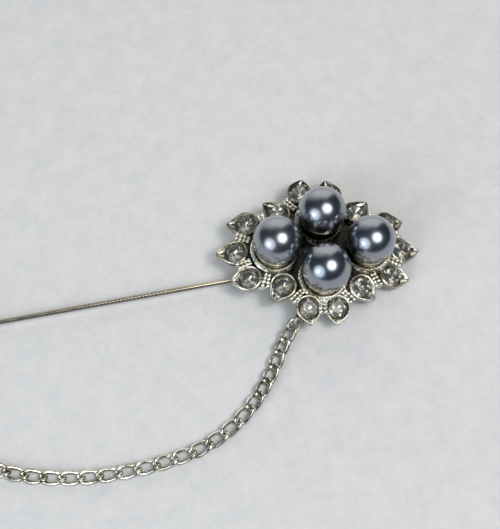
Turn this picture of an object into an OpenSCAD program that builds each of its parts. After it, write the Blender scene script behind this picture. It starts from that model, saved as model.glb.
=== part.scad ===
/* [Flower head] */
// Diameter of the four pearls
pearl_d = 8; // [7:0.5:8.5]
// Height of the pearls' centres over the level of the stones
pearl_rise = 4.3; // [4:0.1:4.6]
// Diameter of the cut stones
stone_d = 3.5; // [3.1:0.1:3.7]
// Radius of the round part of a petal
petal_r = 2.2; // [2.1:0.05:2.4]
// Width of the raised rim round a petal
rim_w = 0.25; // [0.2:0.05:0.35]
// Height of a petal's rim over the girdle of its stone
rim_rise = 0.45; // [0.3:0.05:0.7]
// Depth of a petal's underside below the girdle of its stone
petal_under = 0.8; // [0.6:0.05:1]
// Radius of the small beads cast between the petals
grain_r = 0.42; // [0.38:0.02:0.46]

/* [How it lies] */
// Height of the head's middle over the table, at the stones' level
head_lift = 3.56; // [3.56:0.02:4]
// Angle by which the head's left side is raised
head_tilt = 5.5; // [4:0.5:6.5]
// Place of the head's middle to the right of the footprint's middle
head_x = 24.79; // [0:0.01:40]
// Place of the head's middle behind the footprint's middle
head_y = 11.55; // [0:0.01:20]

/* [Pin stem] */
// Diameter of the pin's wire
stem_d = 0.8; // [0.6:0.05:1]
// Angle of the pin in plan, towards the front on its left
stem_turn = 8.1; // [7.5:0.1:8.7]
// Distance by which the pin passes in front of the head's middle
stem_front = 1.6; // [1.2:0.1:2]
// Height of the pin's axis over the table, at the head
stem_lift = 1.45; // [1.3:0.05:1.6]
// Length of the pin from the head's middle to its point
stem_length = 61; // [59:0.5:62]
// Start of the twisted stretch, from the head's middle
twist_from = 24.2; // [10:0.1:36]
// Length of the twisted stretch
twist_length = 15.6; // [6:0.1:20]

/* [Clutch] */
// Distance of the clutch's mouth from the head's middle
clutch_from = 56; // [55:0.5:57]
// Length of the clutch's barrel
clutch_length = 8; // [7.5:0.5:8.5]
// Diameter of the clutch's barrel
clutch_d = 3.2; // [2.9:0.1:3.6]

/* [Chain] */
// Half of a link's length, to the middle of its wire
link_half = 1.8; // [1.75:0.05:1.85]
// Half of a link's width, to the middle of its wire
link_side = 1.0; // [0.95:0.05:1.1]
// Radius of a link's wire
wire_r = 0.24; // [0.2:0.01:0.25]
// Angle by which a link is twisted from end to end
link_twist = 90; // [85:5:95]
// Radius of the jump rings, to the middle of their wire
ring_r = 0.95; // [0.9:0.05:1]
// Radius of the wire of the jump rings and of the two eyes
ring_wire = 0.25; // [0.2:0.01:0.27]

/* [Hidden] */
$fn = 48;

// Columns of the table of petals
X = 0;
Y = 1;
TURN = 2;
REACH = 3;
LEVEL = 4;
DROOP = 5;
// Petals clockwise from the left: the stone's place, the way the tip points, the tip's
// distance, the stone's height and the angle by which the petal bends down
petals = [
    [-13.9, -0.2, 180, 3.4, -0.3, 14],
    [-11.9, 4.9, 176, 3.35, -0.1, 14],
    [-6.5, 6.6, 134, 3.5, 0.3, 14],
    [-2.5, 10.6, 76, 2.95, 0.1, 10],
    [2.5, 10.4, 99, 2.95, 0.1, 10],
    [6.7, 6.7, 46, 3.5, 0.3, 14],
    [11.9, 4.9, 12, 3.2, -0.3, 17],
    [13.9, 0, 0, 3.3, -0.3, 14],
    [11.8, -4.7, -8, 3.3, -0.3, 17],
    [6.5, -6.9, -47, 3.2, 0.3, 14],
    [2.2, -10.4, -97, 2.95, 0.1, 10],
    [-2.5, -10.4, -84, 2.95, 0.1, 10],
    [-6.4, -6.5, -129, 3.6, 0.3, 14],
    [-11.9, -5, -174, 3.2, -0.1, 14]
];
// Plan places of the pearls: left, top, right and bottom
pearls = [[-7.4, -0.2], [0.3, 5.1], [8, -0.2], [0.2, -5.1]];

// Clearances between loose pieces
seat_gap = 0.05;
bore_gap = 0.08;

// Faces of the metal plate, and how far it reaches out between two petals
plate_top = -0.2;
plate_bottom = -1.15;
plate_reach = 0.9;

// Cup under a pearl, with a round collar outside it
cup_r = 3.2;
cup_top = 1.5;
collar_r = 4.1;
collar_top = 0.55;
collar_w = 0.65;
collar_bevel = 0.15;
cup_foot = 0.1;

// Hollow of a petal, the seat of its stone and the boss below the seat
stone_r = stone_d / 2;
floor_depth = 0.25;
crown = 0.6;
pavilion = 1.05;
seat_r = stone_r - 0.22;
seat_foot = 0.15;
seat_depth = pavilion + 0.12;
boss_r = 1.5;
boss_depth = 1.45;

// Rows of small beads between neighbouring petals
grains = 4;
grain_step = 0.72;
grain_level = 0.13;

// Socket of the pin, and its web up to the plate
socket_r = 0.8;
socket_from = -3;
socket_length = 8;
web_w = 1.1;
web_inset = 0.5;
web_top = head_lift - 0.85;

// Pin
stem_r = stem_d / 2;
stem_back = -2.6;
point_length = 3;
point_r = 0.05;
flat_w = 0.84;
flat_t = 0.56;
flat_turns = 2;
twist_lap = 0.3;

// Clutch: its mouth's edge and flare, its rounded nose, and the eye behind it
clutch_r = clutch_d / 2;
mouth_edge = 0.3;
mouth_flare = 0.4;
nose_length = 1.4;
nose_step = 0.8;
bore_depth = 6.2;
eye_r = 0.8;
eye_lap = 0.15;
eye_at = clutch_from + clutch_length + eye_r + ring_wire - eye_lap;

// Path of the chain: joint between the first ring and the first link, its heading, how
// steeply the first ring falls to it, the same for the last ring, and stretches of
// links, each with its pitch and the turn from link to link
chain_start = [-5.25, -12.75];
chain_heading = -124.5;
first_slope = 20;
last_heading = -109;
last_slope = 18;
LINKS = 0;
PITCH = 1;
BEND = 2;
stretches = [
    [2, 2.25, 6],
    [4, 2.6, -5],
    [4, 2.9, -7.5],
    [5, 2.95, -3],
    [6, 2.9, -4],
    [9, 2.9, -10]
];
// Heights of the joints over the lying chain, at either end
rise_first = [0.6, 0.3, 0.1];
rise_last = [0.1, 0.25, 0.4];
link_points = 16;
wire_sides = 6;
link_square = 0.8;

function total(list, upto) = upto == 0 ? 0 : list[upto - 1] + total(list, upto - 1);
function flat(lists) = [for (list = lists) each list];

// One entry for each link, worked out from the stretches
pitches = flat([for (s = stretches) [for (k = [1:s[LINKS]]) s[PITCH]]]);
bends = flat([for (s = stretches) [for (k = [1:s[LINKS]]) s[BEND]]]);
link_count = len(pitches);
headings = [for (k = [0:link_count - 1]) chain_heading + total(bends, k)];
steps = [for (k = [0:link_count - 1]) pitches[k] * [cos(headings[k]), sin(headings[k])]];

function power(v, e) = sign(v) * pow(abs(v), e);
function unit(v) = v / norm(v);
function direction(turn, rise) = [cos(turn) * cos(rise), sin(turn) * cos(rise), sin(rise)];
function plan_of(v) = [v[0], v[1]];

// Gap between one petal and the next: its middle, and the way out of the flower
function place(k) = [petals[k % len(petals)][X], petals[k % len(petals)][Y]];
function gap_middle(k) = (place(k) + place(k + 1)) / 2;
function gap_out(k) = let (across = unit(place(k + 1) - place(k))) [-across[1], across[0]];
plate_edge = flat([
    for (k = [0:len(petals) - 1]) [place(k), gap_middle(k) + plate_reach * gap_out(k)]
]);

// Middle line of a curb link: an oval with full sides, twisted along its length
function link_line(t) =
    let (x = link_half * power(cos(t), link_square))
    let (side = link_side * power(sin(t), link_square))
    let (twist = -link_twist * x / (2 * link_half))
    [x, side * cos(twist), side * sin(twist)];
link_path = [for (i = [0:link_points - 1]) link_line(360 * i / link_points)];

// Wire's points round one place of the middle line, in the twisted link's own planes
function link_section(i) =
    let (last = link_path[(i + link_points - 1) % link_points])
    let (next = link_path[(i + 1) % link_points])
    let (run = unit(next - last))
    let (twist = -link_twist * link_path[i][0] / (2 * link_half))
    let (out = unit(cross([0, -sin(twist), cos(twist)], run)))
    let (up = cross(run, out))
    [for (j = [0:wire_sides - 1])
        link_path[i] + wire_r * (cos(360 * j / wire_sides) * out + sin(360 * j / wire_sides) * up)];
link_skin = flat([for (i = [0:link_points - 1]) link_section(i)]);
function skin_at(i, j) = (i % link_points) * wire_sides + j % wire_sides;
link_faces = [
    for (i = [0:link_points - 1], j = [0:wire_sides - 1], half = [0, 1])
        half == 0 ? [skin_at(i, j), skin_at(i, j + 1), skin_at(i + 1, j)]
        : [skin_at(i, j + 1), skin_at(i + 1, j + 1), skin_at(i + 1, j)]
];

// Height of the lying chain's middle: it rests on the twisted sides
lie_z = max([for (p = link_path) p[2]]) + wire_r;

// The pin rises a little, from its socket to the clutch that lies on the table
stem_slope = asin((clutch_r - stem_lift) / clutch_from);
clutch_eye = [0, -stem_front, stem_lift] + eye_at * direction(180 + stem_turn, stem_slope);

// An eye stands this far past the joint that its jump ring makes with the chain
ring_hook = 0.32;
eye_hook = 0.62;
eye_reach = 2 * ring_r - ring_hook - eye_hook + eye_r;

// The joints follow the stretches and share out what they miss the clutch's ring by
chain_end = plan_of(clutch_eye + eye_reach * direction(last_heading, -last_slope));
function free_plan(k) = k == 0 ? chain_start : free_plan(k - 1) + steps[k - 1];
miss = (chain_end - free_plan(link_count)) / link_count;
function joint_plan(k) = free_plan(k) + k * miss;
function joint_rise(k) =
    k < len(rise_first) ? rise_first[k]
    : k > link_count - len(rise_last) ? rise_last[k - link_count + len(rise_last) - 1]
    : 0;
joints = [for (k = [0:link_count]) [each joint_plan(k), lie_z + joint_rise(k)]];

// Eye under the head, on a short neck
head_eye = joints[0] - eye_reach * direction(chain_heading, -first_slope);
neck_top = head_lift - 0.2;
neck_r = 0.35;
neck_lap = 0.1;

module plan() {
    translate([head_x, head_y, 0])
        children();
}

module on_head() {
    plan()
        translate([0, 0, head_lift])
            rotate([0, head_tilt, 0])
                children();
}

module at_petal(p) {
    translate([p[X], p[Y], p[LEVEL]])
        rotate([0, p[DROOP], p[TURN]])
            children();
}

module at_pearl(k) {
    translate([pearls[k][X], pearls[k][Y], pearl_rise])
        children();
}

// Points +X from the head's middle along the pin
module along_stem() {
    plan()
        translate([0, -stem_front, stem_lift])
            rotate([0, -stem_slope, 180 + stem_turn])
                children();
}

// Points +X from one place towards another, rolled about that line
module between(from, to, roll) {
    way = to - from;
    plan()
        translate(from)
            rotate([0, -atan2(way[2], norm([way[0], way[1]])), atan2(way[1], way[0])])
                rotate([roll, 0, 0])
                    children();
}

module rod(r, length) {
    rotate([0, 90, 0])
        cylinder(r = r, h = length);
}

module loop(r, wire) {
    rotate_extrude()
        translate([r, 0])
            circle(r = wire);
}

// Drop outline: a circle drawn out to a point
module drop(r, reach) {
    side = acos(r / reach);
    circle(r = r);
    polygon([[r * cos(side), -r * sin(side)], [reach, 0], [r * cos(side), r * sin(side)]]);
}

module petal_body(reach) {
    translate([0, 0, -petal_under])
        linear_extrude(petal_under + rim_rise)
            drop(petal_r, reach);
    translate([0, 0, -boss_depth])
        cylinder(r = boss_r, h = boss_depth);
}

module petal_hollow(reach) {
    translate([0, 0, -floor_depth])
        linear_extrude(floor_depth + 2 * rim_rise)
            drop(petal_r - rim_w, reach - rim_w / (petal_r / reach));
    translate([0, 0, -seat_depth])
        cylinder(r1 = seat_foot, r2 = seat_r, h = seat_depth - floor_depth);
}

// Row of cast beads from the middle outwards between two petals
module grain_row(k) {
    for (g = [0:grains - 1])
        translate([each gap_middle(k) + (g - (grains - 1) / 2) * grain_step * gap_out(k), grain_level])
            sphere(r = grain_r);
}

// Cup with a thick round collar, turned about the pearl's axis
module pearl_cup(k) {
    collar_in = collar_r - collar_w;
    translate([pearls[k][X], pearls[k][Y], 0])
        rotate_extrude()
            polygon([
                [0, plate_bottom], [collar_r, plate_bottom], [collar_r, collar_top - collar_bevel],
                [collar_r - collar_bevel, collar_top], [collar_in + collar_bevel, collar_top],
                [collar_in, collar_top - collar_bevel], [collar_in, cup_foot],
                [cup_r, cup_foot], [cup_r, cup_top], [0, cup_top]
            ]);
}

module head_metal() {
    difference() {
        union() {
            translate([0, 0, plate_bottom])
                linear_extrude(plate_top - plate_bottom)
                    polygon(plate_edge);
            for (k = [0:len(pearls) - 1])
                pearl_cup(k);
            for (p = petals)
                at_petal(p)
                    petal_body(p[REACH]);
            for (k = [0:len(petals) - 1])
                grain_row(k);
        }
        for (p = petals)
            at_petal(p)
                petal_hollow(p[REACH]);
        for (k = [0:len(pearls) - 1])
            at_pearl(k)
                sphere(r = pearl_d / 2 + seat_gap);
    }
}

module setting() {
    color("Silver") {
        difference() {
            union() {
                on_head()
                    head_metal();
                along_stem()
                    translate([socket_from, 0, 0]) {
                        rod(socket_r, socket_length);
                        translate([web_inset, -web_w / 2, 0])
                            cube([socket_length - 2 * web_inset, web_w, web_top - stem_lift]);
                    }
            }
            along_stem()
                translate([socket_from - 1, 0, 0])
                    rod(stem_r + bore_gap, socket_length + 2);
        }
        between(head_eye, joints[0], 90)
            loop(eye_r, ring_wire);
        plan()
            translate([head_eye[0], head_eye[1], head_eye[2] + eye_r - neck_lap])
                cylinder(r = neck_r, h = neck_top - head_eye[2] - eye_r + neck_lap);
    }
}

module pin_stem() {
    color("Wheat")
        along_stem() {
            translate([stem_back, 0, 0])
                rod(stem_r, twist_from + twist_lap - stem_back);
            translate([twist_from, 0, 0])
                rotate([0, 90, 0])
                    linear_extrude(twist_length, twist = 360 * flat_turns, slices = 20 * flat_turns, $fn = 4)
                        square([flat_w, flat_t], center = true);
            translate([twist_from + twist_length - twist_lap, 0, 0])
                rod(stem_r, stem_length - point_length - twist_from - twist_length + twist_lap);
            translate([stem_length - point_length, 0, 0])
                rotate([0, 90, 0])
                    cylinder(r1 = stem_r, r2 = point_r, h = point_length);
        }
}

module clutch() {
    bore_r = stem_r + bore_gap;
    color("Silver")
        along_stem() {
            translate([clutch_from, 0, 0])
                rotate([0, 90, 0])
                    rotate_extrude()
                        polygon([
                            [bore_r + mouth_edge, 0], [clutch_r - mouth_edge, 0], [clutch_r, mouth_edge],
                            [clutch_r, clutch_length - nose_length],
                            [clutch_r - nose_step, clutch_length], [0, clutch_length],
                            [0, bore_depth], [bore_r, bore_depth], [bore_r, mouth_flare]
                        ]);
            translate([eye_at, 0, 0])
                loop(eye_r, ring_wire);
        }
}

module curb_link() {
    polyhedron(points = link_skin, faces = link_faces);
}

module chain() {
    color("Silver")
        for (k = [0:link_count - 1])
            between((joints[k] + joints[k + 1]) / 2, joints[k + 1], 0)
                curb_link();
}

module jump_ring(joint, eye, roll) {
    way = unit(eye - joint);
    color("Gray")
        between(joint + (ring_r - ring_hook) * way, eye, roll)
            loop(ring_r, ring_wire);
}

// Points of the cut stone: eight round the table and the stars, sixteen round the girdle
function stone_ring(n, r, z, turn) =
    [for (i = [0:n - 1]) [r * cos(360 * i / n + turn), r * sin(360 * i / n + turn), z]];
stone_points = concat(
    stone_ring(8, stone_r * 0.58, crown, 0),
    stone_ring(8, stone_r * 0.81, crown * 0.58, 22.5),
    stone_ring(16, stone_r, 0.06, 0),
    stone_ring(16, stone_r, -0.06, 0),
    [[0, 0, -pavilion]]
);
stone_faces = concat(
    [[for (i = [7:-1:0]) i]],
    flat([for (i = [0:7])
        let (j = (i + 1) % 8)
        let (before = (i + 7) % 8)
        let (g = 16 + 2 * i)
        let (after = 16 + (2 * i + 2) % 16)
        [
            [i, j, 8 + i], [8 + before, i, g], [i, 8 + i, g],
            [8 + i, g + 1, g], [8 + i, after, g + 1]
        ]]),
    flat([for (i = [0:15])
        let (j = (i + 1) % 16)
        [[16 + i, 16 + j, 32 + j, 32 + i], [32 + i, 32 + j, 48]]])
);

module stone(k) {
    color("LightGray")
        on_head()
            at_petal(petals[k])
                polyhedron(points = stone_points, faces = stone_faces);
}

module pearl(k) {
    color("SlateGray")
        on_head()
            at_pearl(k)
                sphere(r = pearl_d / 2);
}

setting();
pin_stem();
clutch();
chain();
jump_ring(joints[0], head_eye, 30);  // jump_ring_flower
jump_ring(joints[link_count], clutch_eye, 75);  // jump_ring_clutch
stone(0);  // stone_01
stone(1);  // stone_02
stone(2);  // stone_03
stone(3);  // stone_04
stone(4);  // stone_05
stone(5);  // stone_06
stone(6);  // stone_07
stone(7);  // stone_08
stone(8);  // stone_09
stone(9);  // stone_10
stone(10);  // stone_11
stone(11);  // stone_12
stone(12);  // stone_13
stone(13);  // stone_14
pearl(0);  // pearl_left
pearl(1);  // pearl_top
pearl(2);  // pearl_right
pearl(3);  // pearl_bottom
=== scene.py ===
"""Flower chain brooch: four dark pearls inside a ring of drop-shaped petals set with cut stones,
on a stick pin whose clutch hangs from the flower by a curb chain. It lies on a pale table."""

import math

import bmesh
import bpy
from mathutils import Matrix, Vector


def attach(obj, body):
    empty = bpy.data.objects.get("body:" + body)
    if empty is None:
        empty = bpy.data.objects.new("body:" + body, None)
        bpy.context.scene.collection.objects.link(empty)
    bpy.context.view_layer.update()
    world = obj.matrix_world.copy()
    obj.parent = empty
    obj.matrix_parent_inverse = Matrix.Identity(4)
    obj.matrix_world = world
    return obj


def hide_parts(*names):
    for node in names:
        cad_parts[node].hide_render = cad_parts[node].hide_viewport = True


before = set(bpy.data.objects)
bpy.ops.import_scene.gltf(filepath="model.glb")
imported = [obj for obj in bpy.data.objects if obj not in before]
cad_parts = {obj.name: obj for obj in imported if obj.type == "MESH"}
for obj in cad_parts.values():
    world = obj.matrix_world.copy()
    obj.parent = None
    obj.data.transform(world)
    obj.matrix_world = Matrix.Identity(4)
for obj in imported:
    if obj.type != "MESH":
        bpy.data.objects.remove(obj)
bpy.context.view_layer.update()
bpy.ops.object.select_all(action="DESELECT")

# Camera
# The photograph looks down on the brooch from the front, 65 degrees over the table and turned
# a little to its left, from about 20 cm away. Its place is given from the flower's middle.
MM = 0.001
HEAD = Vector((24.79, 11.55, 3.56)) * MM
camera_place = Vector((HEAD.x, HEAD.y, 0)) + Vector((-16.48, -85.0, 181.95)) * MM
azimuth = math.radians(-3.44)
elevation = math.radians(65)
roll = math.radians(0.26)
back = Vector((math.sin(azimuth) * math.cos(elevation), -math.cos(azimuth) * math.cos(elevation),
               math.sin(elevation)))
level = Vector((math.cos(azimuth), math.sin(azimuth), 0))
rise = back.cross(level)
across = math.cos(roll) * level + math.sin(roll) * rise
upward = back.cross(across)
view = bpy.data.objects.new("photo_view", bpy.data.cameras.new("photo_view"))
bpy.context.collection.objects.link(view)
turn = Matrix((across, upward, back)).transposed().to_4x4()
view.matrix_world = Matrix.Translation(camera_place) @ turn
view.data.sensor_fit = "HORIZONTAL"
view.data.sensor_width = 36
lens_px = 1200
photo_width_px = 500
view.data.lens = view.data.sensor_width * lens_px / photo_width_px
view.data.clip_start = 1 * MM
bpy.context.scene.camera = view
bpy.context.scene.view_settings.view_transform = "Standard"


# Studio light
# A broad pale window stands low behind the brooch in a dim room. Two round soft lights hang
# in front, warm on the right and cool on the left, each a cloth with a bright lamp behind it.
def heading(turn_deg, rise_deg=0):
    """Direction at an angle round from +X and an angle over the table."""
    flat = math.cos(math.radians(rise_deg))
    return Vector((math.cos(math.radians(turn_deg)) * flat, math.sin(math.radians(turn_deg)) * flat,
                   math.sin(math.radians(rise_deg))))


room = bpy.data.worlds.new("room")
bpy.context.scene.world = room
room.use_nodes = True
nodes, links = room.node_tree.nodes, room.node_tree.links
nodes.clear()
direction = nodes.new("ShaderNodeTexCoord")
# The window's right, left and upper edges: the way in from each edge, and the reach along it
# at which the window starts and is at its full brightness
WINDOW_EDGES = (
    (heading(138), 0, 0.2),
    (heading(54), -0.12, 0.6),
    (heading(0, -90), -0.98, -0.65),
)
window = None
for edge_way, none_at, full_at in WINDOW_EDGES:
    facing = nodes.new("ShaderNodeVectorMath")
    facing.operation = "DOT_PRODUCT"
    facing.inputs[1].default_value = edge_way
    links.new(direction.outputs["Generated"], facing.inputs[0])
    edge = nodes.new("ShaderNodeMapRange")
    edge.interpolation_type = "SMOOTHSTEP"
    edge.inputs["From Min"].default_value = none_at
    edge.inputs["From Max"].default_value = full_at
    links.new(facing.outputs["Value"], edge.inputs["Value"])
    if window:
        both = nodes.new("ShaderNodeMath")
        both.operation = "MULTIPLY"
        links.new(window, both.inputs[0])
        links.new(edge.outputs["Result"], both.inputs[1])
        window = both.outputs["Value"]
    else:
        window = edge.outputs["Result"]
glow = nodes.new("ShaderNodeMix")
glow.data_type = "RGBA"
glow.inputs["A"].default_value = (0.042, 0.052, 0.07, 1)
glow.inputs["B"].default_value = (1.02, 1.0, 0.94, 1)
links.new(window, glow.inputs["Factor"])
seen = nodes.new("ShaderNodeLightPath")
plain = nodes.new("ShaderNodeMix")
plain.data_type = "RGBA"
plain.inputs["B"].default_value = (0.62, 0.63, 0.64, 1)
links.new(seen.outputs["Is Camera Ray"], plain.inputs["Factor"])
links.new(glow.outputs["Result"], plain.inputs["A"])
backdrop = nodes.new("ShaderNodeBackground")
links.new(plain.outputs["Result"], backdrop.inputs["Color"])
surface = nodes.new("ShaderNodeOutputWorld")
links.new(backdrop.outputs["Background"], surface.inputs["Surface"])


def soft_light(name, way, spread_deg, radiance, colour):
    """A round light far off in front of the brooch, seen from it as wide as an angle each way."""
    distance = 1000 * MM
    radius = distance * math.tan(math.radians(spread_deg))
    light = bpy.data.lights.new(name, "AREA")
    light.shape = "DISK"
    light.size = 2 * radius
    light.energy = radiance * (math.pi * radius) ** 2
    light.color = colour
    holder = bpy.data.objects.new(name, light)
    bpy.context.collection.objects.link(holder)
    holder.location = HEAD + distance * way
    holder.rotation_euler = way.to_track_quat("Z", "Y").to_euler()
    holder.visible_camera = False


warm_white = (1, 0.98, 0.95)
cool_white = (0.82, 0.93, 1)
soft_light("warm_cloth", heading(-41, 64), 22, radiance=3.0, colour=warm_white)
soft_light("warm_lamp", heading(-34, 63), 6, radiance=17, colour=warm_white)
soft_light("cool_cloth", heading(-138, 31), 25, radiance=1.9, colour=cool_white)
soft_light("cool_lamp", heading(-142, 29), 5, radiance=13, colour=cool_white)


# Table
# A sheet of pale bluish paper or cloth lies under the brooch, matt and a little uneven. It is
# so wide that its edge is out of every view.
table_span = 8
bpy.ops.mesh.primitive_plane_add(size=table_span)
table = bpy.context.object
table.name = "table"
paper = bpy.data.materials.new("pale_paper")
paper.use_nodes = True
nodes, links = paper.node_tree.nodes, paper.node_tree.links
shader = nodes["Principled BSDF"]
shader.inputs["Roughness"].default_value = 0.9
shader.inputs["Specular IOR Level"].default_value = 0.2
where = nodes.new("ShaderNodeTexCoord")
mottle = nodes.new("ShaderNodeTexNoise")
mottle.inputs["Scale"].default_value = 250
mottle.inputs["Detail"].default_value = 5
mottle.inputs["Roughness"].default_value = 0.85
links.new(where.outputs["Object"], mottle.inputs["Vector"])
tone = nodes.new("ShaderNodeMix")
tone.data_type = "RGBA"
tone.inputs["A"].default_value = (0.598, 0.609, 0.634, 1)
tone.inputs["B"].default_value = (0.885, 0.868, 0.856, 1)
links.new(mottle.outputs["Fac"], tone.inputs["Factor"])
links.new(tone.outputs["Result"], shader.inputs["Base Color"])
fibres = nodes.new("ShaderNodeTexNoise")
fibres.inputs["Scale"].default_value = 1500
fibres.inputs["Detail"].default_value = 4
links.new(where.outputs["Object"], fibres.inputs["Vector"])
grain = nodes.new("ShaderNodeBump")
grain.inputs["Strength"].default_value = 0.8
grain.inputs["Distance"].default_value = 0.1 * MM
links.new(fibres.outputs["Fac"], grain.inputs["Height"])
links.new(grain.outputs["Normal"], shader.inputs["Normal"])
table.data.materials.append(paper)


# Plate
# The flower's flat back, cast in white metal and plated, joins all the petals. Its edge goes
# round the back of each petal, clear of the stone's seat, and a little way out between two.
def plated_surface():
    """Node group for bright plating: a tint that shifts, soft waves and uneven polish.
    A darkness share stored on a piece's corners paints shade, a dark olive, into its colour."""
    group = bpy.data.node_groups.new("plated_surface", "ShaderNodeTree")
    for socket, kind in (("Bright", "NodeSocketColor"), ("Warm", "NodeSocketColor"),
                         ("Scale", "NodeSocketFloat"), ("Smoothest", "NodeSocketFloat"),
                         ("Roughest", "NodeSocketFloat")):
        group.interface.new_socket(socket, in_out="INPUT", socket_type=kind)
    for socket, kind in (("Colour", "NodeSocketColor"), ("Roughness", "NodeSocketFloat"),
                         ("Height", "NodeSocketFloat")):
        group.interface.new_socket(socket, in_out="OUTPUT", socket_type=kind)
    nodes, links = group.nodes, group.links
    given = nodes.new("NodeGroupInput")
    result = nodes.new("NodeGroupOutput")
    where = nodes.new("ShaderNodeTexCoord")
    patches = nodes.new("ShaderNodeTexNoise")
    patches.inputs["Detail"].default_value = 3
    links.new(where.outputs["Object"], patches.inputs["Vector"])
    links.new(given.outputs["Scale"], patches.inputs["Scale"])
    warmth = nodes.new("ShaderNodeMapRange")
    warmth.inputs["From Min"].default_value = 0.42
    warmth.inputs["From Max"].default_value = 0.66
    links.new(patches.outputs["Fac"], warmth.inputs["Value"])
    tint = nodes.new("ShaderNodeMix")
    tint.data_type = "RGBA"
    links.new(warmth.outputs["Result"], tint.inputs["Factor"])
    links.new(given.outputs["Bright"], tint.inputs["A"])
    links.new(given.outputs["Warm"], tint.inputs["B"])
    # Painted shade: the stored share turns the colour towards this dark olive
    painted_shade = nodes.new("ShaderNodeAttribute")
    painted_shade.attribute_name = "painted_shade"
    darkened = nodes.new("ShaderNodeMix")
    darkened.data_type = "RGBA"
    darkened.inputs["B"].default_value = (0.1, 0.095, 0.072, 1)
    links.new(painted_shade.outputs["Fac"], darkened.inputs["Factor"])
    links.new(tint.outputs["Result"], darkened.inputs["A"])
    links.new(darkened.outputs["Result"], result.inputs["Colour"])
    finer = nodes.new("ShaderNodeMath")
    finer.operation = "MULTIPLY"
    finer.inputs[1].default_value = 5
    links.new(given.outputs["Scale"], finer.inputs[0])
    waves = nodes.new("ShaderNodeTexNoise")
    waves.inputs["Detail"].default_value = 2
    links.new(where.outputs["Object"], waves.inputs["Vector"])
    links.new(finer.outputs["Value"], waves.inputs["Scale"])
    polish = nodes.new("ShaderNodeMapRange")
    polish.inputs["From Min"].default_value = 0.3
    polish.inputs["From Max"].default_value = 0.7
    links.new(waves.outputs["Fac"], polish.inputs["Value"])
    links.new(given.outputs["Smoothest"], polish.inputs["To Min"])
    links.new(given.outputs["Roughest"], polish.inputs["To Max"])
    links.new(polish.outputs["Result"], result.inputs["Roughness"])
    links.new(waves.outputs["Fac"], result.inputs["Height"])
    return group


def plating(name, bright, warm, scale, smoothest, roughest, wave):
    """Metal material whose colour, polish and waviness come from the plated_surface group."""
    material = bpy.data.materials.new(name)
    material.use_nodes = True
    nodes, links = material.node_tree.nodes, material.node_tree.links
    shader = nodes["Principled BSDF"]
    shader.inputs["Metallic"].default_value = 1
    plated = nodes.new("ShaderNodeGroup")
    plated.node_tree = plated_group
    plated.inputs["Bright"].default_value = (*bright, 1)
    plated.inputs["Warm"].default_value = (*warm, 1)
    plated.inputs["Scale"].default_value = scale
    plated.inputs["Smoothest"].default_value = smoothest
    plated.inputs["Roughest"].default_value = roughest
    links.new(plated.outputs["Colour"], shader.inputs["Base Color"])
    links.new(plated.outputs["Roughness"], shader.inputs["Roughness"])
    bump = nodes.new("ShaderNodeBump")
    bump.inputs["Strength"].default_value = 0.6
    bump.inputs["Distance"].default_value = wave
    links.new(plated.outputs["Height"], bump.inputs["Height"])
    links.new(bump.outputs["Normal"], shader.inputs["Normal"])
    return material


def share_of(value):
    """Keeps a value between 0 and 1."""
    return min(max(value, 0), 1)


def store_painted_shade(piece, shade_at):
    """Keeps how much painted shade each corner of a piece gets, from 0 to 1, worked out from its place.
    """
    stored = piece.data.attributes.new("painted_shade", "FLOAT", "POINT")
    for corner, value in zip(piece.data.vertices, stored.data):
        value.value = share_of(shade_at(corner.co))


def begin_edit(piece):
    """Selects one piece alone and opens it in edit mode."""
    if bpy.context.object and bpy.context.object.mode == "EDIT":
        bpy.ops.object.mode_set(mode="OBJECT")
    bpy.ops.object.select_all(action="DESELECT")
    bpy.context.view_layer.objects.active = piece
    piece.select_set(True)
    bpy.ops.object.mode_set(mode="EDIT")


def finish_edit(smooth_angle=None):
    """Closes edit mode with all faces pointing outwards, and smooths what isn't a sharp edge."""
    bpy.ops.mesh.select_all(action="SELECT")
    bpy.ops.mesh.normals_make_consistent(inside=False)
    bpy.ops.object.mode_set(mode="OBJECT")
    if smooth_angle is None:
        bpy.ops.object.shade_smooth()
    else:
        bpy.ops.object.shade_smooth_by_angle(angle=math.radians(smooth_angle))


def add_modifier(piece, kind, **values):
    """Puts a modifier on a piece and applies it."""
    modifier = piece.modifiers.new(kind.lower(), kind)
    for key, value in values.items():
        setattr(modifier, key, value)
    bpy.ops.object.select_all(action="DESELECT")
    bpy.context.view_layer.objects.active = piece
    piece.select_set(True)
    bpy.ops.object.modifier_apply(modifier=modifier.name)


def copies(source, places):
    """One joined piece with a copy of the source's mesh at each place."""
    made = []
    for place in places:
        twin = source.copy()
        twin.data = source.data.copy()
        twin.data.transform(place)
        bpy.context.collection.objects.link(twin)
        made.append(twin)
    bpy.data.objects.remove(source)
    return joined(made)


def joined(pieces):
    """Joins pieces into the first of them."""
    bpy.ops.object.select_all(action="DESELECT")
    for piece in pieces:
        piece.select_set(True)
    bpy.context.view_layer.objects.active = pieces[0]
    if len(pieces) > 1:
        bpy.ops.object.join()
    return bpy.context.view_layer.objects.active


def settle(piece, name, material, node):
    """Gives a finished piece its name, finish and body, and hides the node that it stands for."""
    piece.name = name
    piece.data.name = name
    piece.data.materials.clear()
    piece.data.materials.append(material)
    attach(piece, "root")
    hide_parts(node)


plated_group = plated_surface()
cast_metal = plating("bright_cast_metal", (0.96, 0.94, 0.86), (0.56, 0.51, 0.37), scale=330,
                     smoothest=0.07, roughest=0.24, wave=0.05 * MM)

head_lean = math.radians(5.5)
head_frame = Matrix.Translation(HEAD) @ Matrix.Rotation(head_lean, 4, "Y")

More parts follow.
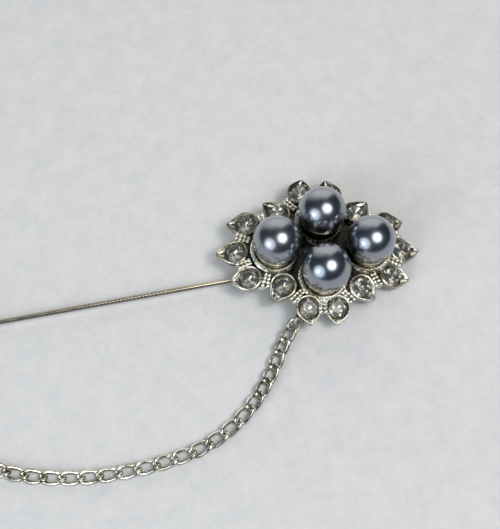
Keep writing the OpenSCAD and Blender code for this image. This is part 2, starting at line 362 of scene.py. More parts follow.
# Petals clockwise from the left, in mm and degrees: the stone's place (two), the way the tip
# points, the tip's distance, the stone's height and the angle by which the petal bends down
PETALS = (
    (-13.9, -0.2, 180, 3.4, -0.3, 14),
    (-11.9, 4.9, 176, 3.35, -0.1, 14),
    (-6.5, 6.6, 134, 3.5, 0.3, 14),
    (-2.5, 10.6, 76, 2.95, 0.1, 10),
    (2.5, 10.4, 99, 2.95, 0.1, 10),
    (6.7, 6.7, 46, 3.5, 0.3, 14),
    (11.9, 4.9, 12, 3.2, -0.3, 17),
    (13.9, 0, 0, 3.3, -0.3, 14),
    (11.8, -4.7, -8, 3.3, -0.3, 17),
    (6.5, -6.9, -47, 3.2, 0.3, 14),
    (2.2, -10.4, -97, 2.95, 0.1, 10),
    (-2.5, -10.4, -84, 2.95, 0.1, 10),
    (-6.4, -6.5, -129, 3.6, 0.3, 14),
    (-11.9, -5, -174, 3.2, -0.1, 14),
)
stone_places = [Vector((x, y)) for x, y, *rest in PETALS]
tip_ways = [way for x, y, way, *rest in PETALS]
# Between each petal and the next: the gap's middle and the way out of the flower
gaps = []
for here, there in zip(stone_places, stone_places[1:] + stone_places[:1]):
    along = (there - here).normalized()
    gaps.append(((here + there) / 2, Vector((-along.y, along.x))))

plate_top = -0.2 * MM
plate_bottom = -1.15 * MM
# In mm: how far the plate reaches round the back of each stone, and out between two petals
behind_stone = 2
past_gap = 0.9
plate_edge = []
for place, way, (middle, out) in zip(stone_places, tip_ways, gaps):
    for side in (-55, 0, 55):
        plate_edge.append((place + behind_stone * heading(way + 180 + side).xy) * MM)
    plate_edge.append((middle + past_gap * out) * MM)
bpy.ops.mesh.primitive_circle_add(vertices=len(plate_edge), radius=12 * MM, fill_type="NGON",
                                  location=(0, 0, plate_bottom))
plate = bpy.context.object
begin_edit(plate)
outline = bmesh.from_edit_mesh(plate.data)
for corner, place in zip(outline.verts, plate_edge):
    corner.co.x, corner.co.y = place
bmesh.update_edit_mesh(plate.data)
bpy.ops.mesh.select_all(action="SELECT")
bpy.ops.mesh.extrude_region_move(TRANSFORM_OT_translate={"value": (0, 0, plate_top - plate_bottom)})
finish_edit(30)
bpy.ops.object.transform_apply()
add_modifier(plate, "BEVEL", width=0.12 * MM, segments=3)
# Painted shade over the whole top of the plate, where it shows between the petals and pearls
store_painted_shade(plate, lambda co: co.z > plate_top - 0.01 * MM)
plate = copies(plate, [head_frame])
settle(plate, "back_plate", cast_metal, "setting")


# Petals
# Each petal is a drop-shaped cup, cast in one with the plate: an upright wall with a round
# rim, a low ring round the stone, and a sloping floor that runs out into the pointed tip.
def pick(kind, wanted):
    """In edit mode, selects the verts, edges or faces all of whose corners are wanted."""
    mesh = bmesh.from_edit_mesh(bpy.context.object.data)
    bpy.ops.mesh.select_all(action="DESELECT")
    bpy.ops.mesh.select_mode(type=kind)
    parts = {"VERT": mesh.verts, "EDGE": mesh.edges, "FACE": mesh.faces}[kind]
    for part in parts:
        corners = [part] if kind == "VERT" else part.verts
        part.select_set(all(wanted(corner.co) for corner in corners))
    mesh.select_flush_mode()
    bmesh.update_edit_mesh(bpy.context.object.data)


def paint_flank_shade(piece, share, lit_above=0.75, span=0.6):
    """Paints shade, up to a share, on what looks sideways or down, past a limit on how steeply it looks
    up.
    """
    stored = piece.data.attributes.get("painted_shade")
    if not stored:
        stored = piece.data.attributes.new("painted_shade", "FLOAT", "POINT")
    for corner, value in zip(piece.data.vertices, stored.data):
        value.value = max(value.value, share * share_of((lit_above - corner.normal.z) / span))


petal_r = 2.2 * MM
petal_sides = 36
petal_reach = 3.3 * MM
petal_bottom = -0.66 * MM
bpy.ops.mesh.primitive_circle_add(vertices=petal_sides, radius=petal_r, fill_type="NGON",
                                  rotation=(0, 0, math.radians(-90)), location=(0, 0, petal_bottom))
petal = bpy.context.object
bpy.ops.object.transform_apply()
begin_edit(petal)
tangent_at = math.degrees(math.acos(petal_r / petal_reach))


def outline_radius(ray):
    """The drop's edge at an angle from its tip: a round back and two slightly full sides."""
    if ray >= tangent_at:
        return petal_r
    fullness = 1 + 0.05 * math.sin(math.pi * ray / tangent_at)
    return petal_r * fullness / math.cos(math.radians(tangent_at - ray))


def ray_of(co):
    """A place's angle from the petal's tip, seen from the stone's middle."""
    return abs(math.degrees(math.atan2(co.y, co.x)))


for step in range(petal_sides // 4):
    ray = 360 * step / petal_sides
    pick("VERT", lambda co: abs(ray_of(co) - ray) < 1)
    stretch = outline_radius(ray) / petal_r
    bpy.ops.transform.resize(value=(stretch, stretch, 1), center_override=(0, 0, 0))
bpy.ops.mesh.select_mode(type="FACE")
bpy.ops.mesh.select_all(action="SELECT")
for wall_rise in (0.5, 0.26):
    bpy.ops.mesh.extrude_region_move(TRANSFORM_OT_translate={"value": (0, 0, wall_rise * MM)})
# The round rim's steps inwards, each with its rise, in mm
RIM_STEPS = ((0.03, 0.17), (0.06, 0.1), (0.07, 0.05), (0.07, 0), (0.05, -0.04), (0.04, -0.08),
             (0.02, -0.1))
for inset, lift in RIM_STEPS:
    bpy.ops.mesh.inset(thickness=inset * MM, depth=lift * MM)


def swap_face_for_rings(rings, cap):
    """Cuts out the selected face and leads its edge through round rings (radius, height) in mm."""
    mesh = bmesh.from_edit_mesh(bpy.context.object.data)
    edge = {corner.index for face in mesh.faces if face.select for corner in face.verts}
    bpy.ops.mesh.delete(type="ONLY_FACE")
    bpy.ops.mesh.select_all(action="DESELECT")
    bpy.ops.mesh.select_mode(type="EDGE")
    radius, height = rings[0]
    bpy.ops.mesh.primitive_circle_add(vertices=petal_sides, radius=radius * MM,
                                      rotation=(0, 0, math.radians(-90)), location=(0, 0, height * MM))
    mesh = bmesh.from_edit_mesh(bpy.context.object.data)
    for line in mesh.edges:
        if all(corner.index in edge for corner in line.verts):
            line.select_set(True)
    bmesh.update_edit_mesh(bpy.context.object.data)
    bpy.ops.mesh.bridge_edge_loops(number_cuts=2, interpolation="LINEAR")
    pick("EDGE", lambda co: abs(co.z - height * MM) < 0.001 * MM
         and abs(co.xy.length - radius * MM) < 0.005 * MM)
    for next_radius, next_height in rings[1:]:
        move = (0, 0, (next_height - height) * MM)
        bpy.ops.mesh.extrude_edges_move(TRANSFORM_OT_translate={"value": move})
        shrink = next_radius / radius
        bpy.ops.transform.resize(value=(shrink, shrink, 1), center_override=(0, 0, next_height * MM))
        radius, height = next_radius, next_height
    if cap:
        bpy.ops.mesh.edge_face_add()
    else:
        bpy.ops.mesh.merge(type="COLLAPSE")


# The seat under the stone, down to its point
swap_face_for_rings([(1.785, -0.12), (1.62, -0.2), (1.5, -0.3), (0.12, -1.19)], cap=False)
# Near the tip, the rim's inner edge and the loops just under it rise, so that the floor is
# dished: each loop's least height, the distance from which it rises, and by how much, in mm
DISH_LOOPS = ((0.12, 1.9, 0.07), (0, 1.85, 0.05))
loop_band = 0.105
for lowest, from_x, lift in DISH_LOOPS:
    pick("VERT", lambda co: lowest * MM < co.z < (lowest + loop_band) * MM and co.x > from_x * MM
         and co.xy.length < 2.65 * MM)
    bpy.ops.transform.translate(value=(0, 0, lift * MM))
# The underside: a flat, then the boss that backs the seat
pick("FACE", lambda co: abs(co.z - petal_bottom) < 0.01 * MM)
bpy.ops.mesh.inset(thickness=0.12 * MM, depth=0.14 * MM)
swap_face_for_rings([(1.56, -0.84), (1.5, -0.95), (1.48, -1.3), (1.36, -1.43), (1.1, -1.45)], cap=True)
finish_edit()
inside_rim = 0.86
floor_from = 1.8 * MM


def floor_shade(co):
    """Painted shade: darkest at the foot of the sloping floor, and nothing on the rim or in the seat.
    """
    on_floor = floor_from < co.xy.length < inside_rim * outline_radius(ray_of(co))
    return on_floor * (0.05 * MM - co.z) / (0.3 * MM)


store_painted_shade(petal, floor_shade)
add_modifier(petal, "SUBSURF", levels=1, render_levels=1)
bpy.ops.object.shade_smooth()

petal_frames = []
tip_stretches = []
for x, y, way, reach, height, droop in PETALS:
    place = head_frame @ Matrix.Translation(Vector((x, y, height)) * MM)
    pointed = place @ Matrix.Rotation(math.radians(way), 4, "Z")
    petal_frames.append(pointed @ Matrix.Rotation(math.radians(droop), 4, "Y"))
    tip_stretches.append(reach * MM / petal_reach)

# Only what lies past the tip's foot is drawn out or pushed in to the tip's own distance
tip_foot = 1.3 * MM
cups = []
for place, stretch in zip(petal_frames, tip_stretches):
    cup = petal.copy()
    cup.data = petal.data.copy()
    bpy.context.collection.objects.link(cup)
    begin_edit(cup)
    pick("VERT", lambda co: co.x > tip_foot and co.xy.length > 1.95 * MM)
    longer = (petal_reach * stretch - tip_foot) / (petal_reach - tip_foot)
    bpy.ops.transform.resize(value=(longer, 1, 1), center_override=(tip_foot, 0, 0))
    bpy.ops.object.mode_set(mode="OBJECT")
    cup.data.transform(place)
    cups.append(cup)
bpy.data.objects.remove(petal)
petals = joined(cups)
# Painted shade: the petals towards the flower's far side are painted darker, as the light leaves them
# duller
to_head = head_frame.inverted()
far_shade_from = -2 * MM
far_shade_span = 6 * MM
far_shade_most = 0.7
for corner, value in zip(petals.data.vertices, petals.data.attributes["painted_shade"].data):
    far_side = share_of(((to_head @ corner.co).y - far_shade_from) / far_shade_span)
    value.value = max(value.value, far_shade_most * far_side)
# Painted shade on the petals' flanks and undersides
paint_flank_shade(petals, 0.6)
settle(petals, "petal_cups", cast_metal, "setting")


# Foils
# Every stone's back is lined with silvery foil in sixteen flat facets, which throws the light
# out again through the stone. It clings to the glass from the girdle down to the point.
foil_silver = plating("silver_foil", (0.92, 0.92, 0.89), (0.88, 0.85, 0.77), scale=500,
                      smoothest=0.04, roughest=0.1, wave=0.002 * MM)
foil_facets = 16
foil_thickness = 0.01 * MM
bpy.ops.mesh.primitive_cone_add(vertices=foil_facets, radius1=0.02 * MM, radius2=1.73 * MM,
                                depth=0.965 * MM, end_fill_type="NOTHING",
                                rotation=(0, 0, math.radians(-90)), location=(0, 0, -0.55 * MM))
foil = bpy.context.object
bpy.ops.object.transform_apply()
add_modifier(foil, "SOLIDIFY", thickness=foil_thickness, offset=0)
settle(copies(foil, petal_frames), "stone_foils", foil_silver, "setting")


# Beads between the petals
# Two rows of small round beads fill each space between two petals, as on cast jewellery,
# and fan out towards the rim. They are fused to the plate and to their neighbours.
bead_r = 0.385 * MM
beads_in_row = 4
# In mm: the beads' height in the head's frame, their spacing along a row, and how far a row
# lies from the middle of its gap at the first bead and further at each next one
bead_height = 0.15
row_pitch = 0.66
row_aside = 0.3
row_fan = 0.03
bpy.ops.mesh.primitive_uv_sphere_add(segments=12, ring_count=8, radius=bead_r)
bead = bpy.context.object
begin_edit(bead)
bpy.ops.mesh.select_all(action="SELECT")
bpy.ops.transform.resize(value=(0.95, 0.9, 1.1))
pick("VERT", lambda co: co.z > 0.1 * MM)
bpy.ops.transform.resize(value=(1.1, 1.1, 0.7), center_override=(0, 0, 0.1 * MM))
finish_edit()
# Painted shade on the lower part of each bead, darker towards its foot
store_painted_shade(bead, lambda co: (0.02 * MM - co.z) / (0.2 * MM))
bead_frames = []
lean = Matrix.Rotation(math.radians(20), 4, "Y")
for middle, out in gaps:
    across_gap = Vector((out.y, -out.x))
    outward = Matrix.Rotation(math.atan2(out.y, out.x), 4, "Z")
    for step in range(beads_in_row):
        spread = row_aside + row_fan * step
        for side in (-1, 1):
            spot = middle + (step - 2) * row_pitch * out + side * spread * across_gap
            place = Matrix.Translation(Vector((spot.x, spot.y, bead_height)) * MM)
            bead_frames.append(head_frame @ place @ outward @ lean)
settle(copies(bead, bead_frames), "bead_rows", cast_metal, "setting")


# Pearl cups
# Under each pearl stands a short turned cup whose hollow matches the pearl, so that glue
# holds it over a wide ring. It is cast in one with the plate.
pearl_r = 4 * MM
pearl_rise = 4.3 * MM
# Each pearl's place in the plane of the stones, in mm
PEARLS = {"left": (-7.4, -0.2), "top": (0.3, 5.1), "right": (8, -0.2), "bottom": (0.2, -5.1)}
pearl_frames = {
    name: head_frame @ Matrix.Translation(Vector((x, y, 0)) * MM) for name, (x, y) in PEARLS.items()
}


def turned_piece(profile, steps):
    """A piece turned on a lathe: its profile (radius, height) in mm, spun round the Z axis."""
    bpy.ops.mesh.primitive_plane_add(size=1 * MM)
    piece = bpy.context.object
    begin_edit(piece)
    bpy.ops.mesh.select_all(action="SELECT")
    bpy.ops.mesh.merge(type="CENTER")
    bpy.ops.mesh.select_mode(type="VERT")
    bpy.ops.mesh.select_all(action="SELECT")
    radius, height = profile[0]
    bpy.ops.transform.translate(value=(radius * MM, 0, height * MM))
    for next_radius, next_height in profile[1:]:
        move = ((next_radius - radius) * MM, 0, (next_height - height) * MM)
        bpy.ops.mesh.extrude_vertices_move(TRANSFORM_OT_translate={"value": move})
        radius, height = next_radius, next_height
    bpy.ops.mesh.select_all(action="SELECT")
    bpy.ops.mesh.spin(steps=steps, angle=math.tau, center=(0, 0, 0), axis=(0, 0, 1))
    bpy.ops.mesh.select_all(action="SELECT")
    bpy.ops.mesh.remove_doubles(threshold=0.0005 * MM)
    return piece


# The cup's hollow is a bowl of this radius in mm, a hair wider than the pearl
hollow_r = 4.04
hollow = []
for angle in range(45, -1, -5):
    ray = math.radians(angle)
    hollow.append((hollow_r * math.sin(ray), pearl_rise / MM - hollow_r * math.cos(ray)))
cup_outside = [(0, -0.6), (3.12, -0.6), (3.2, -0.5), (3.2, 1.4), (3.14, 1.5), (2.95, 1.5)]
cup = turned_piece(cup_outside + hollow, 48)
finish_edit(35)
cups = copies(cup, pearl_frames.values())


def nearness(co):
    """How close to the flower's middle a place lies: 1 between the pearls, 0 outside them."""
    flat = to_head @ co
    return 1.4 - (flat.x / (7.5 * MM)) ** 2 - (flat.y / (5 * MM)) ** 2


# Painted shade between the pearls and on the cups' low parts
store_painted_shade(cups, lambda co: max(nearness(co), (1.2 * MM - (to_head @ co).z) / MM))
settle(cups, "pearl_cups", cast_metal, "setting")


# Rope collars
# A ring of two twisted wires lies round each cup, under the pearl's edge, and catches the
# light in short slanting dashes. It is soldered to a low ring that stands on the plate.
rope_r = 3.78 * MM
rope_wire = 0.17 * MM
rope_height = 0.62 * MM
rope_turns = 17
rope_steps = rope_turns * 10
rope_length = math.tau * rope_r
strands = []
for side in (-1, 1):
    bpy.ops.mesh.primitive_circle_add(vertices=8, radius=rope_wire, rotation=(0, math.radians(90), 0),
                                      location=(0, side * 0.165 * MM, 0))
    strands.append(bpy.context.object)
rope = joined(strands)
bpy.ops.object.transform_apply()
begin_edit(rope)
bpy.ops.mesh.select_mode(type="EDGE")
bpy.ops.mesh.select_all(action="SELECT")
for step in range(rope_steps):
    bpy.ops.mesh.extrude_edges_move(TRANSFORM_OT_translate={"value": (rope_length / rope_steps, 0, 0)})
bpy.ops.object.mode_set(mode="OBJECT")
add_modifier(rope, "SIMPLE_DEFORM", deform_method="TWIST", deform_axis="X", angle=rope_turns * math.tau)
add_modifier(rope, "SIMPLE_DEFORM", deform_method="BEND", deform_axis="Z", angle=math.tau)
begin_edit(rope)
bpy.ops.mesh.select_all(action="SELECT")
bpy.ops.mesh.remove_doubles(threshold=0.004 * MM)
finish_edit()
rope_middle = (Vector(rope.bound_box[0]) + Vector(rope.bound_box[6])) / 2
rope.data.transform(Matrix.Translation(-rope_middle))
rope.data.transform(Matrix.Translation((0, 0, rope_height)))
footing = turned_piece([(3.3, -0.5), (4.05, -0.5), (4.1, -0.4), (4.1, 0.4), (4, 0.5), (3.4, 0.5),
                        (3.3, 0.4), (3.3, -0.5)], 48)
finish_edit(35)
ropes = copies(joined([rope, footing]), pearl_frames.values())
# Painted shade between the pearls and on the collars' low parts
store_painted_shade(ropes, lambda co: max(nearness(co), (0.45 * MM - (to_head @ co).z) / (0.4 * MM)))
settle(ropes, "rope_collars", cast_metal, "setting")


# Pin socket
# A short tube under the plate takes the pin. A web joins it to the plate, and both are
# soldered on. It lies level, while the flower head over it leans a little.
pin_turn = math.radians(180 + 8.1)
pin_front = 1.6 * MM
pin_lift = 1.45 * MM
clutch_r = 1.6 * MM
clutch_from = 56 * MM
pin_slope = math.asin((clutch_r - pin_lift) / clutch_from)
pin_frame = (Matrix.Translation((HEAD.x, HEAD.y - pin_front, pin_lift))
             @ Matrix.Rotation(pin_turn, 4, "Z") @ Matrix.Rotation(-pin_slope, 4, "Y"))
lie_along = Matrix.Rotation(math.radians(90), 4, "Y")
# The radius in mm of the hole that takes the pin's wire, here and in the clutch
bore = 0.48
tube = turned_piece([(bore, 0), (0.7, 0), (0.8, 0.1), (0.8, 7.9), (0.7, 8), (bore, 8), (bore, 0)], 32)
finish_edit(35)
tube = copies(tube, [pin_frame @ Matrix.Translation((-3 * MM, 0, 0)) @ lie_along])
bpy.ops.mesh.primitive_cube_add(size=1, location=(1 * MM, 0, 1.2 * MM),
                                scale=(7 * MM, 1.1 * MM, 1.2 * MM))
web = bpy.context.object
bpy.ops.object.transform_apply()
begin_edit(web)
pick("FACE", lambda co: co.z > 1.5 * MM)
bpy.ops.transform.resize(value=(1.05, 1.3, 1))
finish_edit(30)
add_modifier(web, "BEVEL", width=0.1 * MM, segments=2)
web = copies(web, [pin_frame])
settle(joined([tube, web]), "pin_socket", cast_metal, "setting")


# Stones
# Round cut stones of clear glass, each with a flat table, a crown and a pointed back, sit
# in the petals' polished seats. Their own facets stay, with a glass finish.
cut_glass = bpy.data.materials.new("clear_cut_glass")
cut_glass.use_nodes = True
nodes, links = cut_glass.node_tree.nodes, cut_glass.node_tree.links
shader = nodes["Principled BSDF"]
shader.inputs["Transmission Weight"].default_value = 0.96
shader.inputs["IOR"].default_value = 1.62
where = nodes.new("ShaderNodeTexCoord")
streaks = nodes.new("ShaderNodeTexNoise")
streaks.inputs["Scale"].default_value = 700
links.new(where.outputs["Object"], streaks.inputs["Vector"])
clarity = nodes.new("ShaderNodeMix")
clarity.data_type = "RGBA"
clarity.inputs["A"].default_value = (0.84, 0.84, 0.78, 1)
clarity.inputs["B"].default_value = (0.94, 0.94, 0.91, 1)
links.new(streaks.outputs["Fac"], clarity.inputs["Factor"])
links.new(clarity.outputs["Result"], shader.inputs["Base Color"])
scuffs = nodes.new("ShaderNodeMapRange")
scuffs.inputs["To Min"].default_value = 0
scuffs.inputs["To Max"].default_value = 0.04
links.new(streaks.outputs["Fac"], scuffs.inputs["Value"])
links.new(scuffs.outputs["Result"], shader.inputs["Roughness"])
for name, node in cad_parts.items():
    if name.startswith("stone_"):
        node.data.materials.clear()
        node.data.materials.append(cut_glass)


# Pearls
# Imitation pearls: balls drilled at the back for a peg, under many coats of dark grey-blue
# pearl lacquer that mirror the room softly and turn bluer or browner from place to place.
pearl_lacquer = bpy.data.materials.new("dark_pearl_lacquer")
pearl_lacquer.use_nodes = True
nodes, links = pearl_lacquer.node_tree.nodes, pearl_lacquer.node_tree.links
shader = nodes["Principled BSDF"]
shader.inputs["Metallic"].default_value = 1
shader.inputs["Coat Weight"].default_value = 0.8
shader.inputs["Coat Roughness"].default_value = 0.14
shader.inputs["Coat IOR"].default_value = 1.65
where = nodes.new("ShaderNodeTexCoord")
clouds = nodes.new("ShaderNodeTexNoise")
clouds.inputs["Scale"].default_value = 210
clouds.inputs["Detail"].default_value = 4
links.new(where.outputs["Object"], clouds.inputs["Vector"])
lustre = nodes.new("ShaderNodeValToRGB")
lustre.color_ramp.elements[0].position = 0.35
lustre.color_ramp.elements[0].color = (0.29, 0.335, 0.39, 1)
lustre.color_ramp.elements[1].position = 0.68
lustre.color_ramp.elements[1].color = (0.335, 0.33, 0.37, 1)
links.new(clouds.outputs["Fac"], lustre.inputs["Fac"])
links.new(lustre.outputs["Color"], shader.inputs["Base Color"])
haze = nodes.new("ShaderNodeMapRange")
haze.inputs["From Min"].default_value = 0.3
haze.inputs["From Max"].default_value = 0.7
haze.inputs["To Min"].default_value = 0.23
haze.inputs["To Max"].default_value = 0.28
links.new(clouds.outputs["Fac"], haze.inputs["Value"])
links.new(haze.outputs["Result"], shader.inputs["Roughness"])
skin = nodes.new("ShaderNodeTexNoise")
skin.inputs["Scale"].default_value = 1400
links.new(where.outputs["Object"], skin.inputs["Vector"])
dimples = nodes.new("ShaderNodeBump")
dimples.inputs["Strength"].default_value = 0.15
dimples.inputs["Distance"].default_value = 0.01 * MM
links.new(skin.outputs["Fac"], dimples.inputs["Height"])
links.new(dimples.outputs["Normal"], shader.inputs["Normal"])

peg_hole = 1.6 * MM
for name, place in pearl_frames.items():
    bpy.ops.mesh.primitive_uv_sphere_add(segments=72, ring_count=36, radius=pearl_r)
    ball = bpy.context.object
    begin_edit(ball)
    pick("VERT", lambda co: co.z < -0.999 * pearl_r)
    bpy.ops.mesh.delete(type="VERT")
    pick("EDGE", lambda co: co.z < -0.995 * pearl_r)
    bpy.ops.mesh.extrude_edges_move(TRANSFORM_OT_translate={"value": (0, 0, peg_hole)})
    bpy.ops.mesh.edge_face_add()
    finish_edit(40)
    ball.data.transform(place @ Matrix.Translation((0, 0, pearl_rise)))
    settle(ball, "pearl_ball_" + name, pearl_lacquer, "pearl_" + name)


# Pin stem
# The pin is drawn wire with a warm plating. A stretch of it is rolled flat and twisted, so
# that cloth doesn't slip along it, and its far end is ground to a point inside the clutch.
pin_metal = plating("warm_pin_wire", (0.66, 0.63, 0.55), (0.60, 0.54, 0.41), scale=120,
                    smoothest=0.2, roughest=0.32, wave=0.008 * MM)
stem_r = 0.4 * MM
stem_from = -2.6 * MM
bpy.ops.mesh.primitive_circle_add(vertices=16, radius=stem_r, fill_type="NGON",
                                  rotation=(0, math.radians(90), 0), location=(stem_from, 0, 0))
stem = bpy.context.object
bpy.ops.object.transform_apply()
begin_edit(stem)
bpy.ops.mesh.select_mode(type="FACE")
bpy.ops.mesh.select_all(action="SELECT")


def draw_wire(to, steps, turn_each=0, shrink=1):
    """Extrudes the wire's selected end face onward to a place along X, in even steps."""
    global stem_at
    for step in range(steps):
        move = (to - stem_at) / (steps - step)
        bpy.ops.mesh.extrude_region_move(TRANSFORM_OT_translate={"value": (move, 0, 0)})
        stem_at += move
        if turn_each:
            bpy.ops.transform.rotate(value=turn_each, orient_axis="X", center_override=(stem_at, 0, 0))
    bpy.ops.transform.resize(value=(1, shrink, shrink), center_override=(stem_at, 0, 0))


def square_end(corners, flats):
    """Scales the end face's four corners and the middles of its four sides."""
    for offset, factor in ((45, corners), (0, flats)):
        pick("VERT", lambda co: abs(co.x - stem_at) < 0.01 * MM
             and abs((math.degrees(math.atan2(co.z, co.y)) - offset + 45) % 90 - 45) < 5)
        bpy.ops.transform.resize(value=(1, factor, factor), center_override=(stem_at, 0, 0))
    pick("FACE", lambda co: abs(co.x - stem_at) < 0.01 * MM)


# Places along the wire from the head's middle
twist_from = 24.2 * MM
twist_to = 39.8 * MM
twist_ease = 0.5 * MM
taper_from = 58 * MM
stem_to = 61 * MM
quarter_turns = 24
twist_steps = 120
corners_out = 1.025
flats_in = 0.975
stem_at = stem_from
draw_wire(twist_from, 6)
draw_wire(twist_from + twist_ease, 1)
square_end(corners_out, flats_in)
draw_wire(twist_to - twist_ease, twist_steps, math.radians(-quarter_turns * 90 / twist_steps))
draw_wire(twist_to, 1)
square_end(1 / corners_out, 1 / flats_in)
draw_wire(taper_from, 4)
draw_wire(stem_to, 1, shrink=0.12)
finish_edit(50)
# Painted shade: past this point the wire is painted duller than near the head, where more light reaches
# it
shade_from = 20.5 * MM
store_painted_shade(stem, lambda co: min((co.x - shade_from) / (3 * MM), 0.42))
stem = copies(stem, [pin_frame])
# Painted shade on the wire's flanks and underside
paint_flank_shade(stem, 0.8, lit_above=0.8, span=0.4)
settle(stem, "stem_wire", pin_metal, "pin_stem")


# Clutch
# A turned barrel with a blind bore pushes onto the pin's point and guards it. Fine grooves
# give the fingers a hold, and a soldered eye at its closed end takes the chain.
clutch_metal = plating("bright_turned_metal", (0.66, 0.65, 0.61), (0.62, 0.58, 0.48), scale=160,
                       smoothest=0.05, roughest=0.12, wave=0.008 * MM)
# Where the bore starts, inside its flared mouth, and its length from there, in mm
bore_mouth = 0.4
bore_length = 5.8
barrel_profile = [(bore, bore_mouth), (0.78, 0), (1.3, 0), (1.5, 0.08), (1.6, 0.3), (1.6, 1.2)]
for groove in range(5):
    start = 1.4 + 0.5 * groove
    barrel_profile += [(1.6, start), (1.48, start + 0.12), (1.48, start + 0.24), (1.6, start + 0.36)]
barrel_profile += [(1.6, 6.4), (1.5, 6.9), (1.3, 7.4), (1.05, 7.8), (0.7, 7.97), (0, 8)]
barrel = turned_piece(barrel_profile, 48)
begin_edit(barrel)
pick("EDGE", lambda co: abs(co.xy.length - bore * MM) < 0.01 * MM
     and abs(co.z - bore_mouth * MM) < 0.01 * MM)
bpy.ops.mesh.extrude_edges_move(TRANSFORM_OT_translate={"value": (0, 0, bore_length * MM)})
bpy.ops.mesh.edge_face_add()
finish_edit(32)
barrel = copies(barrel, [pin_frame @ Matrix.Translation((clutch_from, 0, 0)) @ lie_along])


def wire_ring(radius, wire, slit):
    """A ring of round wire about the Z axis. A slit leaves the two cut ends showing."""
    segments = 48
    bpy.ops.mesh.primitive_torus_add(major_radius=radius, minor_radius=wire, major_segments=segments,
                                     minor_segments=14)
    ring = bpy.context.object
    begin_edit(ring)
    if slit:
        cut_end = radius * math.sin(math.tau / segments) + 0.01 * MM
        pick("FACE", lambda co: co.x > 0 and -0.01 * MM < co.y < cut_end * (co.x + wire) / radius)
        bpy.ops.mesh.delete(type="FACE")
        bpy.ops.mesh.select_mode(type="EDGE")
        bpy.ops.mesh.select_all(action="DESELECT")
        bpy.ops.mesh.select_non_manifold(extend=False, use_wire=False, use_multi_face=False,
                                         use_verts=False)
        bpy.ops.mesh.edge_face_add()
    finish_edit(50)
    return ring


eye_r = 0.8 * MM
eye_wire = 0.25 * MM
eye_at = 64.9 * MM
eye = wire_ring(eye_r, eye_wire, slit=False)
eye = copies(eye, [pin_frame @ Matrix.Translation((eye_at, 0, 0))])
settle(joined([barrel, eye]), "clutch_barrel", clutch_metal, "clutch")


# Chain
# Thirty curb links of round wire, each an oval twisted by a quarter turn, so that they lie
# flat one through the next. The chain falls from the flower and swings round to the clutch.
chain_metal = plating("bright_chain_wire", (0.92, 0.90, 0.81), (0.42, 0.38, 0.27), scale=420,
                      smoothest=0.08, roughest=0.24, wave=0.03 * MM)
link_half = 1.82 * MM
link_side = 0.9 * MM
link_wire = 0.33 * MM
link_fullness = 0.7
bpy.ops.mesh.primitive_circle_add(vertices=32, radius=1 * MM)
link = bpy.context.object
begin_edit(link)
for corner in bmesh.from_edit_mesh(link.data).verts:
    ray = math.atan2(corner.co.y, corner.co.x)
    corner.co.x = math.copysign(link_half * abs(math.cos(ray)) ** link_fullness, math.cos(ray))
    corner.co.y = math.copysign(link_side * abs(math.sin(ray)) ** link_fullness, math.sin(ray))
bmesh.update_edit_mesh(link.data)
bpy.ops.object.mode_set(mode="OBJECT")
bpy.ops.object.convert(target="CURVE")
link = bpy.context.object
link.data.dimensions = "3D"
link.data.bevel_depth = link_wire
link.data.bevel_resolution = 4
bpy.ops.object.convert(target="MESH")
link = bpy.context.object
twist = -math.radians(90) * (link_half + link_wire) / link_half
add_modifier(link, "SIMPLE_DEFORM", deform_method="TWIST", deform_axis="X", angle=twist)
begin_edit(link)
finish_edit()

# Stretches of the chain from the flower on: how many links, their pitch in mm and the angle by
# which each turns from the one before
STRETCHES = ((2, 2.25, 6), (4, 2.6, -5), (4, 2.9, -7.5), (5, 2.95, -3), (6, 2.9, -4), (9, 2.9, -10))
first_heading = -124.5
last_heading = -109

# A jump ring reaches a little past the end joint and some way into the eye
ring_r = 0.95 * MM
ring_past_joint = 0.32 * MM
ring_into_eye = 0.62 * MM
eye_reach = 2 * ring_r - (ring_past_joint + ring_into_eye) + eye_r
clutch_eye = pin_frame @ Vector((eye_at, 0, 0))
joints = [Vector((HEAD.x - 5.25 * MM, HEAD.y - 12.75 * MM, 0))]
way = first_heading
for count, pitch, bend in STRETCHES:
    for link_number in range(count):
        joints.append(joints[-1] + pitch * MM * heading(way))
        way += bend
link_count = len(joints) - 1
chain_end = clutch_eye + eye_reach * heading(last_heading, -18)
# What the joints miss the clutch's ring by is shared out evenly
miss = (chain_end - joints[-1]) / link_count
miss.z = 0
over_table = 0.003 * MM
lie_z = max(corner.co.z for corner in link.data.vertices) + over_table
# The joints' rises over a link that lies flat, in mm: only the chain's two ends are lifted
rises = [0.6, 0.3, 0.1] + [0] * (link_count - 5) + [0.1, 0.25, 0.4]
for number, joint in enumerate(joints):
    joint += number * miss
    joint.z = lie_z + rises[number] * MM


def laid_along(run):
    """Rotation that turns +X along a run, with no roll."""
    yaw = Matrix.Rotation(math.atan2(run.y, run.x), 4, "Z")
    pitch_up = Matrix.Rotation(-math.atan2(run.z, run.xy.length), 4, "Y")
    return yaw @ pitch_up


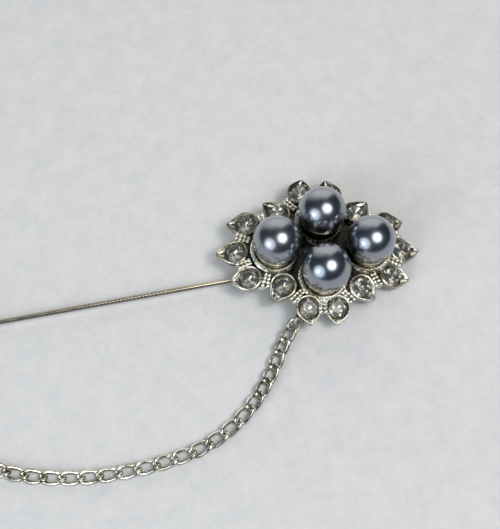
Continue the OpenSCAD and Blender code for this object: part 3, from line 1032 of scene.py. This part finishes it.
# Links that are pushed together look shorter: none reaches further past its joints than this
past_joints = 0.75 * MM
link_frames = []
for joint, following in zip(joints, joints[1:]):
    run = following - joint
    shorter = min((run.length + past_joints) / (2 * link_half), 1)
    link_frames.append(Matrix.Translation((joint + following) / 2) @ laid_along(run)
                       @ Matrix.Diagonal((shorter, 1, 1, 1)))
links_laid = copies(link, link_frames)
# Painted shade on the links' flanks and undersides
paint_flank_shade(links_laid, 0.6, lit_above=0.65, span=0.5)
settle(links_laid, "curb_links", chain_metal, "chain")


# Eye and jump rings
# A soldered eye hangs under the flower on a short neck. A jump ring, bent open and closed
# again so that its slit shows, ties each end of the chain to its eye.
ring_metal = plating("dull_ring_wire", (0.56, 0.53, 0.45), (0.50, 0.44, 0.31), scale=240,
                     smoothest=0.12, roughest=0.24, wave=0.01 * MM)


def between(start, end, roll_deg):
    """Frame that points +X from one place to another, rolled about that line."""
    roll = Matrix.Rotation(math.radians(roll_deg), 4, "X")
    return Matrix.Translation(start) @ laid_along(end - start) @ roll


head_eye = joints[0] - eye_reach * heading(first_heading, -20)
eye = copies(wire_ring(eye_r, eye_wire, slit=False), [between(head_eye, joints[0], 90)])
neck_foot = head_eye.z + eye_r - 0.1 * MM
neck_top = HEAD.z + plate_top
neck_length = (neck_top - neck_foot) / MM
neck_profile = [(0, 0), (0.3, 0), (0.35, 0.1), (0.33, 0.4), (0.35, neck_length), (0, neck_length)]
neck = turned_piece(neck_profile, 24)
finish_edit(40)
neck = copies(neck, [Matrix.Translation((head_eye.x, head_eye.y, neck_foot))])
settle(joined([eye, neck]), "flower_eye", cast_metal, "setting")
# The joint that each ring holds, the eye that it hangs from and its roll
RINGS = (("flower", joints[0], head_eye, 30), ("clutch", joints[-1], clutch_eye, 75))
for name, joint, hung_from, roll_deg in RINGS:
    toward = (hung_from - joint).normalized()
    ring = wire_ring(ring_r, eye_wire, slit=True)
    ring = copies(ring, [between(joint + (ring_r - ring_past_joint) * toward, hung_from, roll_deg)])
    # Painted shade on the ring's flanks and underside
    paint_flank_shade(ring, 0.8)
    settle(ring, "split_ring_" + name, ring_metal, "jump_ring_" + name)
